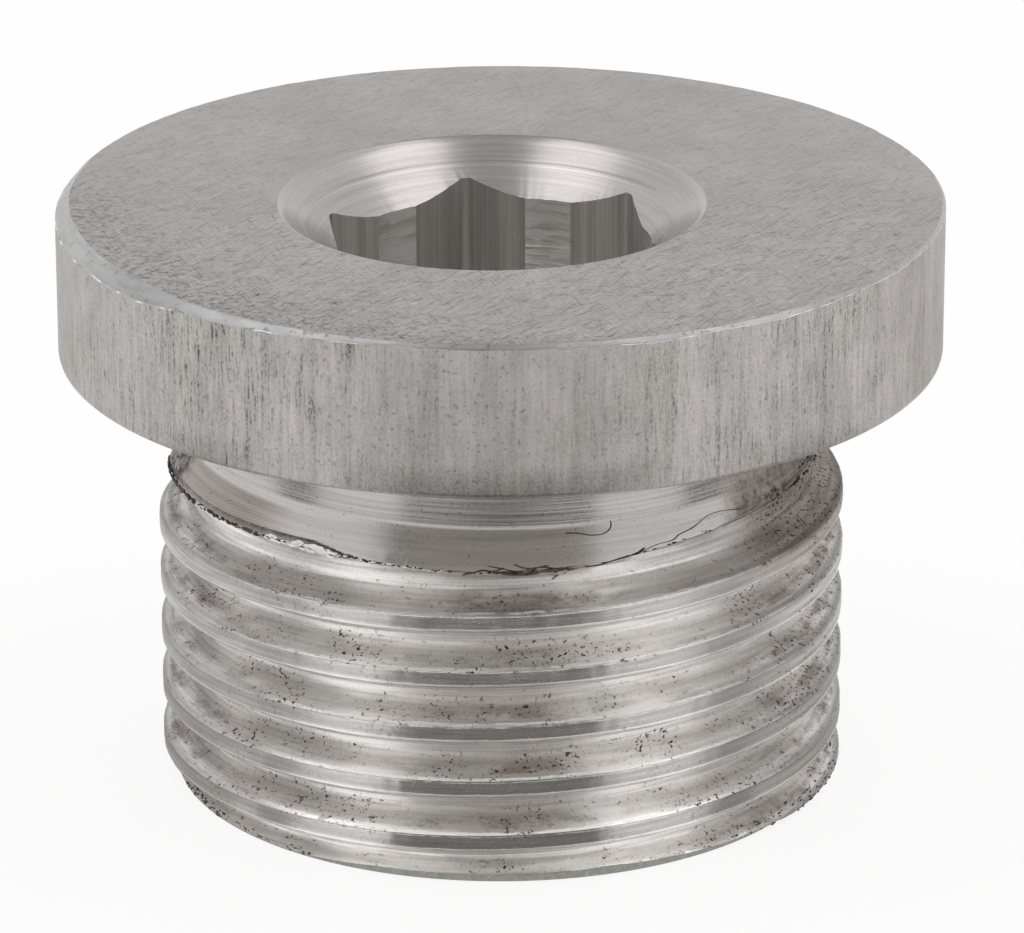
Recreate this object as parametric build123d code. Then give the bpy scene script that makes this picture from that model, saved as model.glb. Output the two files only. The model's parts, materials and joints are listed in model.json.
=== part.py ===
from build123d import *
from math import radians, sqrt, tan
import os

# Hex socket screw plug with a collar, thread M18 x 1.5, turned in one piece.
# Millimetres.  Z runs along the thread axis, up from the end face of the stud at Z = 0,
# so the stud points down and the collar with the socket is on top.
# Two corners of the hexagon point along X.

NODE = "socket_plug"

# Collar
collar_diameter = 23.0
collar_thickness = 4.0
collar_top_break_inward = 0.35
collar_top_break_down = 0.2
collar_seat_break = 0.15

# Stud
stud_length = 11.5
end_land_diameter = 17.25
end_land_length = 0.12  # a whole ring, the thread groove stops above it
end_chamfer_length = 0.16

# Relief between the collar and the thread
relief_diameter = 16.2
relief_land_length = 2.1
relief_cone_angle = 27.0  # from the axis
relief_corner_round = 0.4

# Thread, right hand.  A crest passes X at Z = 0.
thread_diameter = 17.95
thread_pitch = 1.5
thread_angle = 60.0
thread_crest_flat = 0.29
thread_root_flat = 0.25
thread_groove_turns = 7  # from under the end face up to the relief
thread_cutter_overlap = 0.15  # how far the groove section stands proud of the crest

# Socket
key_size = 8.0
key_clearance = 0.03
hexagon_corner_diameter = 9.15  # across the blunted corners
socket_depth = 7.5
socket_runout_x = -0.01  # bore and hexagon stand this far off the turning axis
socket_runout_y = -0.38
bore_clearance = 0.1  # the pilot bore nicks the middle of each flat
bore_below_hexagon = 0.8
drill_point_angle = 118.0

# Countersink, cut in a setting of its own
countersink_diameter = 11.06
countersink_angle = 100.0
countersink_runout_x = -0.1
countersink_runout_y = -0.36

# Sizes that follow
seat_z = stud_length
top_z = stud_length + collar_thickness
hexagon_flats = key_size + key_clearance
hexagon_radius = hexagon_flats / sqrt(3)
bore_diameter = hexagon_flats + bore_clearance
cutter_overlap = 1.0


def half_angle_slope(full_angle):
    """Sideways travel for each millimetre along the axis of a cone or a V."""
    return tan(radians(full_angle / 2))


def turned(points):
    """The solid of revolution about Z of a closed outline given as (radius, z)."""
    outline = Plane.XZ * make_face(Polyline(points, close=True))
    return revolve(outline, Axis.Z)


def ring_edge(body, radius, z):
    """The full circle on a turned body at this radius and height."""
    rings = body.edges().filter_by(GeomType.CIRCLE)
    return rings.filter_by(lambda edge: is_ring(edge, radius, z))


def is_ring(edge, radius, z):
    same_radius = abs(edge.radius - radius) < 1e-4
    return same_radius and abs(edge.arc_center.Z - z) < 1e-4


def blank():
    """Collar, relief and plain stud before the thread and the socket are cut."""
    collar_radius = collar_diameter / 2
    relief_radius = relief_diameter / 2
    thread_radius = thread_diameter / 2
    land_radius = end_land_diameter / 2
    cone_top = seat_z - relief_land_length
    cone_rise = thread_radius - relief_radius
    cone_bottom = cone_top - cone_rise / tan(radians(relief_cone_angle))
    body = turned(
        [
            (0, 0),
            (land_radius, 0),
            (land_radius, end_land_length),
            (thread_radius, end_land_length + end_chamfer_length),
            (thread_radius, cone_bottom),
            (relief_radius, cone_top),
            (relief_radius, seat_z),
            (collar_radius, seat_z),
            (collar_radius, top_z - collar_top_break_down),
            (collar_radius - collar_top_break_inward, top_z),
            (0, top_z),
        ]
    )
    body = chamfer(ring_edge(body, collar_radius, seat_z), collar_seat_break)
    return fillet(ring_edge(body, relief_radius, seat_z), relief_corner_round)


def thread_turn():
    """One full turn of the V groove between the crests, starting half a pitch below Z = 0."""
    crest_radius = thread_diameter / 2
    crest_half_gap = (thread_pitch - thread_crest_flat) / 2
    root_half_gap = thread_root_flat / 2
    slope = half_angle_slope(thread_angle)
    root_radius = crest_radius - (crest_half_gap - root_half_gap) / slope
    outer_radius = crest_radius + thread_cutter_overlap
    outer_half_gap = crest_half_gap + thread_cutter_overlap * slope
    start_z = -thread_pitch / 2
    section = Plane.XZ * make_face(
        Polyline(
            [
                (root_radius, start_z - root_half_gap),
                (outer_radius, start_z - outer_half_gap),
                (outer_radius, start_z + outer_half_gap),
                (root_radius, start_z + root_half_gap),
            ],
            close=True,
        )
    )
    path = Helix(thread_pitch, thread_pitch, crest_radius, center=(0, 0, start_z))
    return sweep(section, path=path, is_frenet=True)


def end_land():
    land_radius = end_land_diameter / 2
    return turned([(0, 0), (land_radius, 0), (land_radius, end_land_length), (0, end_land_length)])


def threaded(body):
    """The body with the groove cut turn by turn from the end land to the relief."""
    turn = thread_turn()
    for count in range(thread_groove_turns):
        body -= Pos(0, 0, count * thread_pitch) * turn
    return body + end_land()


def countersink():
    rim_radius = countersink_diameter / 2
    slope = half_angle_slope(countersink_angle)
    cone = turned(
        [
            (0, top_z - rim_radius / slope),
            (rim_radius + cutter_overlap * slope, top_z + cutter_overlap),
            (0, top_z + cutter_overlap),
        ]
    )
    return Pos(countersink_runout_x, countersink_runout_y, 0) * cone


def pilot_bore():
    """Bore drilled before the hexagon is broached, with its pointed bottom."""
    bore_radius = bore_diameter / 2
    bore_bottom = top_z - socket_depth - bore_below_hexagon
    point_z = bore_bottom - bore_radius / half_angle_slope(drill_point_angle)
    return turned([(0, point_z), (bore_radius, bore_bottom), (bore_radius, top_z), (0, top_z)])


def hexagon():
    """The broached hexagon, a prism open at the top."""
    outline = RegularPolygon(hexagon_radius, 6) & Circle(hexagon_corner_diameter / 2)
    return Pos(0, 0, top_z - socket_depth) * extrude(outline, socket_depth)


def socket():
    return Pos(socket_runout_x, socket_runout_y, 0) * (pilot_bore() + hexagon())


plug = threaded(blank()) - socket() - countersink()
plug.label = NODE

os.makedirs("parts", exist_ok=True)
export_step(plug, f"parts/{NODE}.step")
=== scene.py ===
import json
import math
import random

import bmesh
import bpy
from bpy.props import FloatProperty, FloatVectorProperty, IntProperty, PointerProperty
from mathutils import Matrix, Vector, noise

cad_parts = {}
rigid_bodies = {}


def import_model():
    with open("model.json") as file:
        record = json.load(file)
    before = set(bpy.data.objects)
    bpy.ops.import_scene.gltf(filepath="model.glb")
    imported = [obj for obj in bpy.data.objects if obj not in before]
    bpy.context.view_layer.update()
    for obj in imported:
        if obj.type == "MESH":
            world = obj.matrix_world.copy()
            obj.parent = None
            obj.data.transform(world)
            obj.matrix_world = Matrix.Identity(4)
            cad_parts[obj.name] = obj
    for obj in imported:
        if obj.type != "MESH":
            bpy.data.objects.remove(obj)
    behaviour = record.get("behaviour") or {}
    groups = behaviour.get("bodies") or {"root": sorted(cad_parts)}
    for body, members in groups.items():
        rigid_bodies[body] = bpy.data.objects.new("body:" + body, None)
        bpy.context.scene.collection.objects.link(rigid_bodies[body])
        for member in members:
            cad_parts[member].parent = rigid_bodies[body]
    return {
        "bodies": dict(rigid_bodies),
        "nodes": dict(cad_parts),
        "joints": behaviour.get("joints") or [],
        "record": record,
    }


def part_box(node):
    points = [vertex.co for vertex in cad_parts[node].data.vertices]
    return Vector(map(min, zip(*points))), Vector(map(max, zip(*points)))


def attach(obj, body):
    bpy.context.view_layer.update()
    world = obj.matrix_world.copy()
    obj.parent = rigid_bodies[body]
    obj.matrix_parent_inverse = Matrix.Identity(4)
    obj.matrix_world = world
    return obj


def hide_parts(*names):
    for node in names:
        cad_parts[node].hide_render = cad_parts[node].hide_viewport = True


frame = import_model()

bl_info = {
    "name": "Socket screw plug",
    "version": (1, 0, 0),
    "blender": (4, 5, 0),
    "location": "3D View > Sidebar > Screw plug",
    "description": "Builds a collared hexagon socket screw plug, its finishes and a small studio",
    "category": "Object",
}

NODE = "socket_plug"
BODY = "root"
CAD_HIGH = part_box(NODE)[1]
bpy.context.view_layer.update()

MM = 0.001
TURN = 2 * math.pi
FRONT = math.radians(-69.79)  # the side of the plug that faces the front, from X


# ---------------------------------------------------------------- sizes and colours


def length(name, description, millimetres):
    return FloatProperty(
        name=name, description=description, default=millimetres * MM, unit="LENGTH", precision=5
    )


def cad_length(name, description, metres):
    return FloatProperty(
        name=name, description=description, default=round(metres, 5), unit="LENGTH"
    )


def slope(name, description, degrees):
    return FloatProperty(
        name=name, description=description, default=math.radians(degrees), subtype="ANGLE"
    )


def amount(name, description, default, low=0.0):
    return FloatProperty(name=name, description=description, default=default, min=low)


def colour(name, description, *default):
    return FloatVectorProperty(
        name=name, description=description, default=default, size=3, min=0, max=1, subtype="COLOR"
    )


class PlugSizes(bpy.types.PropertyGroup):
    """Sizes of the turned plug."""

    height: cad_length("Height", "From the end face to the collar's face", CAD_HIGH[2])
    collar_radius: cad_length("Collar radius", "Outer radius of the collar", CAD_HIGH[0])
    seat_height: length("Seat height", "From the end face to the collar's underside", 11.5)
    seat_break: length("Seat edge", "Rounding of the collar's lower edge", 0.15)
    relief_radius: length("Relief radius", "Radius of the neck under the collar", 8.1)
    relief_corner: length("Relief corner", "Hollow radius between neck and collar", 0.4)
    relief_end: length("Relief end", "Height at which the neck turns into its cone", 9.4)
    relief_blend: length("Relief blend", "Half height of the hollow between neck and cone", 0.1)
    relief_angle: slope("Relief cone", "Slope of the relief's cone from the axis", 27)
    thread_radius: length("Thread radius", "Radius over the crests", 8.975)
    pitch: length("Pitch", "Rise of the thread in one turn, right hand", 1.5)
    crest_flat: length("Crest flat", "Width of the crests", 0.30)
    crest_round: length("Crest rounding", "Rounding of the crests' lower edge", 0.1)
    crest_roll: length("Rolled edge", "Rounding of the crests' upper edge", 0.1)
    thread_taper: length("Thread taper", "What the thread is thicker at the end", 0.045)
    root_flat: length("Root flat", "Width of the root", 0.25)
    land_radius: length("Land radius", "Radius of the ring at the end face", 8.62)
    land_chamfer: length("End chamfer", "Height of the chamfer above the ring", 0.16)
    across_flats: length("Across flats", "Width of the hexagon", 8.03)
    across_corners: length("Across corners", "Width over the blunted corners", 9.15)
    socket_floor: length("Socket floor", "Height of the hexagon's floor", 8.0)
    bore_radius: length("Bore radius", "Radius of the pilot bore", 4.065)
    bore_floor: length("Bore floor", "Height at which the drill point starts", 7.2)
    rim_radius: length("Countersink radius", "Radius of the countersink at the collar's face", 5.53)
    countersink_angle: slope("Countersink angle", "Full angle of the countersink", 100)
    socket_x: length("Socket offset X", "How far the socket stands off the axis along X", -0.01)
    socket_y: length("Socket offset Y", "How far the socket stands off the axis along Y", -0.38)
    countersink_x: length("Countersink offset X", "Its offset from the axis along X", -0.1)
    countersink_y: length("Countersink offset Y", "Its offset from the axis along Y", -0.36)
    columns: IntProperty(
        name="Columns",
        description="Mesh columns round the plug, a multiple of 12",
        default=480,
        min=120,
    )


class PlugColours(bpy.types.PropertyGroup):
    """Colours of the plug's finishes."""

    collar: colour("Collar side", "Dull drawn skin of the collar's side", 0.465, 0.441, 0.428)
    face: colour("Collar face", "Scratched face of the collar", 0.383, 0.362, 0.349)
    rubbed: colour("Rubbed edge", "Collar's broken edge", 0.425, 0.42, 0.42)
    # painted light: the flanks are made lighter than the crests' metal, standing in for light
    # bouncing in the grooves
    flank: colour("Thread flanks", "Clean cut metal of the thread's flanks", 0.92, 0.9, 0.875)
    # painted shade: the crests are made darker, standing in for the dark reflection from the front
    crest: colour("Thread crests", "Smooth metal of the thread's crests", 0.57, 0.555, 0.535)
    turned: colour("Turned metal", "Plain cut metal of the end and the seat", 0.56, 0.54, 0.515)
    relief: colour("Relief", "Neck and cone under the collar", 0.47, 0.455, 0.44)
    sink: colour("Countersink", "Cut metal of the countersink", 0.385, 0.367, 0.355)
    socket: colour("Hexagon", "Broached walls of the hexagon", 0.58, 0.565, 0.54)
    bore: colour("Bore", "Brighter drilled strips of the socket", 0.76, 0.745, 0.72)
    ring: colour("End ring", "Ring at the end face", 0.3, 0.305, 0.28)
    scale: colour("Scale", "Brown scale on the burr", 0.16, 0.11, 0.085)
    flake: colour("Flakes", "Bright flakes of the burr", 0.8, 0.79, 0.77)
    film: colour("Oil film", "Dried brown film in the thread", 0.4, 0.325, 0.285)
    dirt: colour("Dirt", "Specks of old dirt", 0.035, 0.025, 0.02)


class StudioSettings(bpy.types.PropertyGroup):
    """Camera, lights and surroundings."""

    lens: amount("Lens", "Focal length of the camera in millimetres", 237.3, 1.0)
    surroundings: amount("Surroundings", "Brightness of the soft light all round", 0.6)
    softbox: amount("Softboxes", "Brightness of the two softboxes", 1.1)
    floor_glow: amount("Floor", "Share of white that the floor keeps in the shadow", 0.86)
    card: colour("Dark cards", "Glow of the cards that darken the front", 0.21, 0.205, 0.195)
    near_card: colour("Low cards", "Glow of the cards low at the sides", 0.5, 0.48, 0.46)
    far_card: colour("Far cards", "Glow of the cards far out at the sides", 0.72, 0.7, 0.68)
    tall_card: colour("Tall card", "Glow of the tall card at the front", 0.42, 0.4, 0.375)
    canopy: colour("Canopy", "Cool strip hung over the plug", 0.54, 0.56, 0.58)


# Width of the collar's broken top edge by angle from the front, degrees and millimetres.
EDGE_BREAK = (
    (-180, 0.16), (-120, 0.22), (-90, 0.36), (-75, 0.42), (-52, 0.4), (-44, 0.24), (-30, 0.18),
    (-12, 0.13), (10, 0.13), (18, 0.15), (27, 0.1), (35, 0.1), (37, 0.13), (44, 0.1), (52, 0.08),
    (90, 0.08), (130, 0.12), (180, 0.16),
)
# Height of the ring at the end face by angle from the front.
LAND_HEIGHT = (
    (-180, 0.1), (-100, 0.08), (-75, 0.05), (-38, 0.05), (-30, 0.1), (-20, 0.18), (-5, 0.2),
    (10, 0.23), (18, 0.25), (26, 0.19), (36, 0.15), (48, 0.1), (60, 0.04), (100, 0.04), (130, 0.1),
    (180, 0.1),
)
# How far the tool set back the topmost flank as it ran out, by angle from the front.
RUN_OUT = (
    (-180, 0.1), (-110, 0.08), (-95, 0.1), (-84, 0.2), (-78, 0.27), (-72, 0.31), (-50, 0.33),
    (-36, 0.35), (-30, 0.3), (-17, 0.21), (-7, 0.11), (10, 0.05), (15, 0.08), (19, 0.16),
    (24, 0.25), (32, 0.32), (40, 0.37), (47, 0.43), (65, 0.43), (90, 0.4), (130, 0.15),
    (180, 0.1),
)
# How much burr it left on that edge, most of it at the front left.
BURR_SHARE = ((-180, 0.3), (-100, 0.6), (-80, 1), (-12, 1), (5, 0.35), (60, 0.3), (180, 0.3))

LAST_GROOVE = (1.0, 2.2)  # the last groove runs out between these angles from X
FLANK_ANGLE = math.radians(30)  # of the thread, from square to the axis
DRILL_POINT = math.radians(118)
ROOT_CORNER = 0.06  # hollow in the corners of the thread's root
FACE_EDGE = 10.7  # radius where the collar's face meets the rows of its broken edge
FACE_REACH = 5.2  # width of the face over which its rows leave the countersink's axis
SHARP_EDGE = math.radians(33)
DOUBLES = 0.002  # vertices closer than this are one
SAME = 1e-4  # heights and radii closer than this are the same


def table_value(table, x):
    """Value at x of a line through the table's points."""
    for (x0, y0), (x1, y1) in zip(table, table[1:]):
        if x <= x1:
            return y0 + (y1 - y0) * (x - x0) / (x1 - x0)
    return table[-1][1]


def from_front(angle):
    """Degrees from the front, positive to the right of it, for an angle from X."""
    return (math.degrees(angle - FRONT) + 180) % 360 - 180


def rough(angle, height, grain, seed):
    """Smooth random value from -1 to 1 on the plug's wall, grain in patches per millimetre."""
    place = Vector((9 * math.cos(angle), 9 * math.sin(angle), height)) * grain
    return noise.noise(place + Vector((seed * 17.3, 0, 0)))


def outwards(angle):
    return Vector((math.cos(angle), math.sin(angle), 0))


def angle_of(place):
    """Angle from X of a place, seen from above."""
    return math.atan2(place.y, place.x)


# ---------------------------------------------------------------- the turned plug


class PlugForm:
    """The plug's surface as numbers in millimetres, worked out from its sizes."""

    def __init__(self, sizes):
        for name in sizes.bl_rna.properties.keys():
            if name in ("rna_type", "name", "columns", "relief_angle", "countersink_angle"):
                continue
            setattr(self, name, getattr(sizes, name) / MM)
        self.columns = sizes.columns
        self.relief_slope = math.tan(sizes.relief_angle)
        self.countersink_slope = math.tan(sizes.countersink_angle / 2)
        self.flank_slope = math.tan(FLANK_ANGLE)
        self.root_radius = self.thread_radius - (
            self.pitch - self.crest_flat - self.root_flat
        ) / 2 / self.flank_slope
        self.socket = Vector((self.socket_x, self.socket_y, 0))
        self.sink = Vector((self.countersink_x, self.countersink_y, 0))
        self.point_z = self.bore_floor - self.bore_radius / math.tan(DRILL_POINT / 2)
        self.thread_outline = self.make_thread_outline()

    def make_thread_outline(self):
        """One pitch from root to root as (radius, offset), with the crest at offset 0."""
        flat = self.crest_flat / 2
        upper = self.crest_side(flat, self.crest_roll, (0, 14, 28, 44, 60), 3)
        lower = self.crest_side(flat, self.crest_round, (0, 22, 42, 60), 2)
        return [(r, -z) for r, z in reversed(lower)] + upper

    def crest_side(self, flat, rounding, turns, steps):
        """Half of the outline: the crest's edge, the flank with its steps and the hollow root."""
        side = []
        for degrees in turns:
            a = math.radians(degrees)
            r = self.thread_radius - rounding * (1 - math.cos(a))
            side.append((r, flat + rounding * math.sin(a)))
        centre = (self.pitch - self.root_flat) / 2 + ROOT_CORNER * self.flank_slope
        hollow = []
        for degrees in (60, 20):
            a = math.radians(degrees)
            r = self.root_radius + ROOT_CORNER * (1 - math.cos(a))
            hollow.append((r, centre - ROOT_CORNER * math.sin(a)))
        (r0, z0), (r1, z1) = side[-1], hollow[0]
        for step in range(1, steps + 1):
            share = step / (steps + 1)
            side.append((r0 + (r1 - r0) * share, z0 + (z1 - z0) * share))
        return side + hollow + [(self.root_radius, self.pitch / 2)]

    def thread_at(self, angle, z):
        """Radius of the thread's surface and the offset from the middle of its nearest crest."""
        offset = z - self.pitch * angle / TURN
        offset = (offset + self.pitch / 2) % self.pitch - self.pitch / 2
        outline = self.thread_outline
        for (r0, z0), (r1, z1) in zip(outline, outline[1:]):
            if z0 <= offset <= z1 and z1 > z0:
                taper = self.thread_taper * (1 - z / self.relief_end)
                return r0 + (r1 - r0) * (offset - z0) / (z1 - z0) + taper, offset
        return self.root_radius, offset

    def cone_at(self, z):
        """Radius of the relief, with a hollow between its neck and its cone."""
        depth, blend = self.relief_end - z, self.relief_blend
        if abs(depth) < blend:
            return self.relief_radius + (depth + blend) ** 2 / 4 / blend * self.relief_slope
        return self.relief_radius + max(0.0, depth) * self.relief_slope

    def last_crest(self, angle):
        """Height of the topmost crest's middle, which the relief's cone cuts."""
        turns = 6 if angle < LAST_GROOVE[1] else 5
        return self.pitch * (turns + angle / TURN)

    def last_flank(self, angle, z):
        """Radius of the topmost crest's lower flank, set back where the tool ran out."""
        back = table_value(RUN_OUT, from_front(angle)) + 0.02 * rough(angle, 0, 1.2, 9)
        offset = z - back - self.last_crest(angle)
        return self.thread_radius + (self.crest_flat / 2 + offset) / self.flank_slope

    def burr_z(self, angle):
        """Height at which the topmost flank meets the cone."""
        low, high = 7.4, self.relief_end
        for _ in range(30):
            middle = (low + high) / 2
            if self.last_flank(angle, middle) < self.cone_at(middle):
                low = middle
            else:
                high = middle
        return low

    def land_top(self, angle):
        """Height of the uneven ring at the end face."""
        height = table_value(LAND_HEIGHT, from_front(angle))
        return height * (1 + 0.12 * rough(angle, 0, 1.4, 3)) + 0.006 * rough(angle, 0, 9, 4)

    def groove_at(self, angle, z):
        """Radius of the cut thread, before the relief's cone and without ragged edges.

        Above the topmost crest there is only the cone, and the last groove rises to it."""
        radius, offset = self.thread_at(angle, z)
        last, cone = self.last_crest(angle), self.cone_at(z)
        if z > last:
            return cone, offset
        if last - z < 0.75:
            radius = min(radius, max(self.root_radius, self.last_flank(angle, z)))
        start, end = LAST_GROOVE
        if start < angle < end and last - z < 1.35:
            radius += 0.45 * ((angle - start) / (end - start)) ** 1.5
        return min(radius, self.thread_radius), offset

    def stud_at(self, angle, z):
        """Radius of the stud's surface at an angle and height."""
        radius, offset = self.groove_at(angle, z)
        if abs(offset) > 0.1 and radius > self.thread_radius - 0.15:
            ragged = 0.012 * rough(angle, z, 2.5, 1) + 0.008 * rough(angle, z, 7, 2)
            radius = min(radius + ragged - 0.006, self.thread_radius)
        cone = self.cone_at(z)
        gap = radius - cone
        radius = min(radius, cone)
        if abs(gap) < 0.07 and z < self.last_crest(angle) and cone > 8.35:
            burr = max(0.0, 0.35 + rough(angle, z, 6, 5)) * (1 - abs(gap) / 0.07)
            radius += 0.04 * burr * table_value(BURR_SHARE, from_front(angle))
        top = self.land_top(angle)
        if z <= top:
            return self.land_radius
        radius = max(radius, self.land_radius - (z - top) / self.flank_slope)
        if z < top + self.land_chamfer:
            share = (z - top) / self.land_chamfer
            chamfer = self.land_radius + (self.thread_radius - self.land_radius) * share
            radius = min(radius, chamfer)
        return radius

    def surface_at(self, angle, z):
        """Radius of the stud or the neck above it."""
        if z > self.relief_end - self.relief_blend:
            return self.cone_at(z)
        return self.stud_at(angle, z)

    def hexagon_at(self, angle):
        """Distance of the socket's wall from its axis, with two corners along X."""
        middle = angle % (math.pi / 3) - math.pi / 6
        flat = self.across_flats / 2 / math.cos(middle)
        return max(min(flat, self.across_corners / 2), self.bore_radius)

    def sink_z(self, radius):
        """Height of the countersink's wall at a radius from its own axis."""
        return self.height - (self.rim_radius - radius) / self.countersink_slope

    def break_width(self, angle):
        """Width of the collar's broken top edge."""
        width = table_value(EDGE_BREAK, from_front(angle))
        return max(0.04, width + 0.03 * rough(angle, 15, 0.9, 6) + 0.02 * rough(angle, 15, 4, 7))


# Regions of the surface, in the order of the material slots.
REGIONS = (
    "end_face", "end_ring", "thread", "relief", "seat_face", "collar_side", "edge_line",
    "broken_edge", "collar_face", "countersink", "hexagon_wall", "bore_wall",
)
BAND_ROWS = 100  # numbers of the rows in the stud's end band start here
HEAD_ROWS = 1000  # and those above the thread here


def head_rows(form):
    """The outline above the thread, from the drill point to the relief's cone.

    Each row is (kind, value, z, region up to the next row). The value is a radius round the
    plug's axis ("round"), the socket's ("bore"), the countersink's ("sink") or a place
    between the plug's and the countersink's ("face"). Otherwise it is a share of the way up
    the hexagon's wall ("wall") or down the broken edge ("break"), or a step out from the
    wall's top ("lip"), and the height follows from the form."""
    rows = [
        ("round", 0.0, form.point_z, "bore_wall"),
        ("bore", form.bore_radius, form.bore_floor, "bore_wall"),
        ("bore", form.bore_radius, form.socket_floor, "bore_wall"),
    ]
    rows += [("wall", share, 0.0, "hexagon_wall") for share in (0.0, 0.3, 0.55, 0.75, 0.9, 0.97)]
    rows += [("wall", 1.0, 0.0, "countersink"), ("lip", 0.05, 0.0, "countersink")]
    for radius in (4.8, 5.1, 5.35, form.rim_radius - 0.03):
        rows.append(("sink", radius, form.sink_z(radius), "countersink"))
    rows += [
        ("sink", form.rim_radius + 0.015, form.height - 0.006, "collar_face"),
        ("sink", form.rim_radius + 0.06, form.height, "collar_face"),
        ("face", 7.0, form.height, "collar_face"),
        ("face", 9.0, form.height, "collar_face"),
        ("round", FACE_EDGE, form.height, "collar_face"),
    ]
    for step in range(7):
        region = "broken_edge" if step < 5 else "edge_line" if step == 5 else "collar_side"
        rows.append(("break", step / 6, 0.0, region))
    for z in (14.4, 13.4, 12.4):
        rows.append(("round", form.collar_radius, z, "collar_side"))
    for degrees in (0, 30, 60, 90):
        a = math.radians(degrees)
        inward = form.seat_break * (1 - math.cos(a))
        drop = form.seat_break * (1 - math.sin(a))
        region = "collar_side" if degrees < 60 else "seat_face"
        rows.append(("round", form.collar_radius - inward, form.seat_height + drop, region))
    rows.append(("round", 10.0, form.seat_height, "seat_face"))
    for degrees in (0, 18, 36, 54, 72, 90):
        a = math.radians(degrees)
        radius = form.relief_radius + form.relief_corner * (1 - math.sin(a))
        z = form.seat_height - form.relief_corner * (1 - math.cos(a))
        rows.append(("round", radius, z, "relief"))
    rows.append(("round", form.relief_radius, 10.2, "relief"))
    for step in (1, 0.6, 0.2, -0.2, -0.6, -1):
        z = form.relief_end + form.relief_blend * step
        rows.append(("round", form.cone_at(z), z, "relief"))
    return rows


def place_head_vertex(form, row, angle):
    """Where a vertex of the head belongs, from its row and its angle."""
    kind, value, z, _region = row
    out, up = outwards(angle), Vector((0, 0, z))
    if kind == "bore":
        return form.socket + out * value + up
    if kind == "wall":
        spot = form.socket + out * form.hexagon_at(angle)
        top = form.sink_z((spot - form.sink).length)
        if value == 1.0:
            top += 0.012 * noise.noise(spot * 6) + 0.01 * noise.noise(spot * 14)
        spot.z = form.socket_floor + (top - form.socket_floor) * value
        return spot
    if kind == "lip":
        spot = form.socket + out * (form.hexagon_at(angle) + value)
        spot.z = form.sink_z((spot - form.sink).length)
        return spot
    if kind == "sink":
        return form.sink + out * value + up
    if kind == "face":
        share = (FACE_EDGE - value) / FACE_REACH
        return form.sink * share + out * value + up
    if kind == "break":
        width = form.break_width(angle)
        a = math.pi / 2 * value
        inward = width * (1 - math.sin(a) ** 1.75)
        drop = width * (1 - math.cos(a) ** 1.75) * 0.95
        return out * (form.collar_radius - inward) + Vector((0, 0, form.height - drop))
    if value == 0:
        return form.socket + up
    return out * value + up


def chain(bm, points, rows, first_row):
    """A line of vertices in the XZ plane, numbered by row."""
    verts = [bm.verts.new((r, 0, z)) for r, z in points]
    for number, vert in enumerate(verts):
        vert[rows] = first_row + number
    return verts + [bm.edges.new(pair) for pair in zip(verts, verts[1:])]


def spin_up(bm, line, form, rise):
    """Full turn of a line about Z, rising by the given height."""
    bmesh.ops.spin(
        bm,
        geom=line,
        cent=(0, 0, 0),
        axis=(0, 0, 1),
        dvec=(0, 0, rise / form.columns),
        angle=TURN,
        steps=form.columns,
        use_merge=rise == 0,
    )


def move_to(vert, angle, radius, z):
    vert.co = (radius * math.cos(angle), radius * math.sin(angle), z)


def of_kind(items, kind):
    return [item for item in items if isinstance(item, kind)]


def extruded(bm, edges):
    """The new edges and vertices of an extrusion that hasn't moved yet."""
    made = bmesh.ops.extrude_edge_only(bm, edges=edges)["geom"]
    return of_kind(made, bmesh.types.BMEdge), of_kind(made, bmesh.types.BMVert)


def cut_level(bm, form, z, radius_at, keep_above):
    """Trim the thread's sheet at a height and bring the cut's vertices onto the columns."""
    geom = bm.verts[:] + bm.edges[:] + bm.faces[:]
    bmesh.ops.bisect_plane(
        bm,
        geom=geom,
        dist=1e-5,
        plane_co=(0, 0, z),
        plane_no=(0, 0, 1),
        clear_inner=keep_above,
        clear_outer=not keep_above,
    )
    cut = [v for v in bm.verts if abs(v.co.z - z) < SAME]
    for vert in cut:
        column = round(angle_of(vert.co) / TURN * form.columns)
        angle = column * TURN / form.columns
        move_to(vert, angle, radius_at(angle), z)
    bmesh.ops.remove_doubles(bm, verts=cut, dist=DOUBLES)


END_BAND = 0.5  # the lowest part of the stud, meshed in level rows
END_LEVELS = 10  # rows from there down to the ring
END_RING_ROW = BAND_ROWS + END_LEVELS + 2  # the ring's lower row
END_FACE_ROWS = END_RING_ROW + 1  # every row of the end face


def screw_thread(bm, form, rows):
    """The thread from the end band up to the relief's neck."""
    line = chain(bm, [(r, z - form.pitch) for r, z in form.thread_outline], rows, 0)
    spin_up(bm, line, form, form.pitch)
    turn = bm.verts[:] + bm.edges[:] + bm.faces[:]
    for count in range(1, 8):
        copy = bmesh.ops.duplicate(bm, geom=turn)["geom"]
        verts = of_kind(copy, bmesh.types.BMVert)
        bmesh.ops.translate(bm, verts=verts, vec=(0, 0, form.pitch * count))
    bmesh.ops.remove_doubles(bm, verts=bm.verts, dist=DOUBLES)
    cut_level(bm, form, END_BAND, lambda angle: form.stud_at(angle, END_BAND), True)
    top = form.relief_end - form.relief_blend
    cut_level(bm, form, top, lambda angle: form.cone_at(top), False)
    for vert in bm.verts:
        angle, z = angle_of(vert.co), vert.co.z
        if abs(z - top) > SAME:
            move_to(vert, angle, form.stud_at(angle, z), z)


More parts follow.
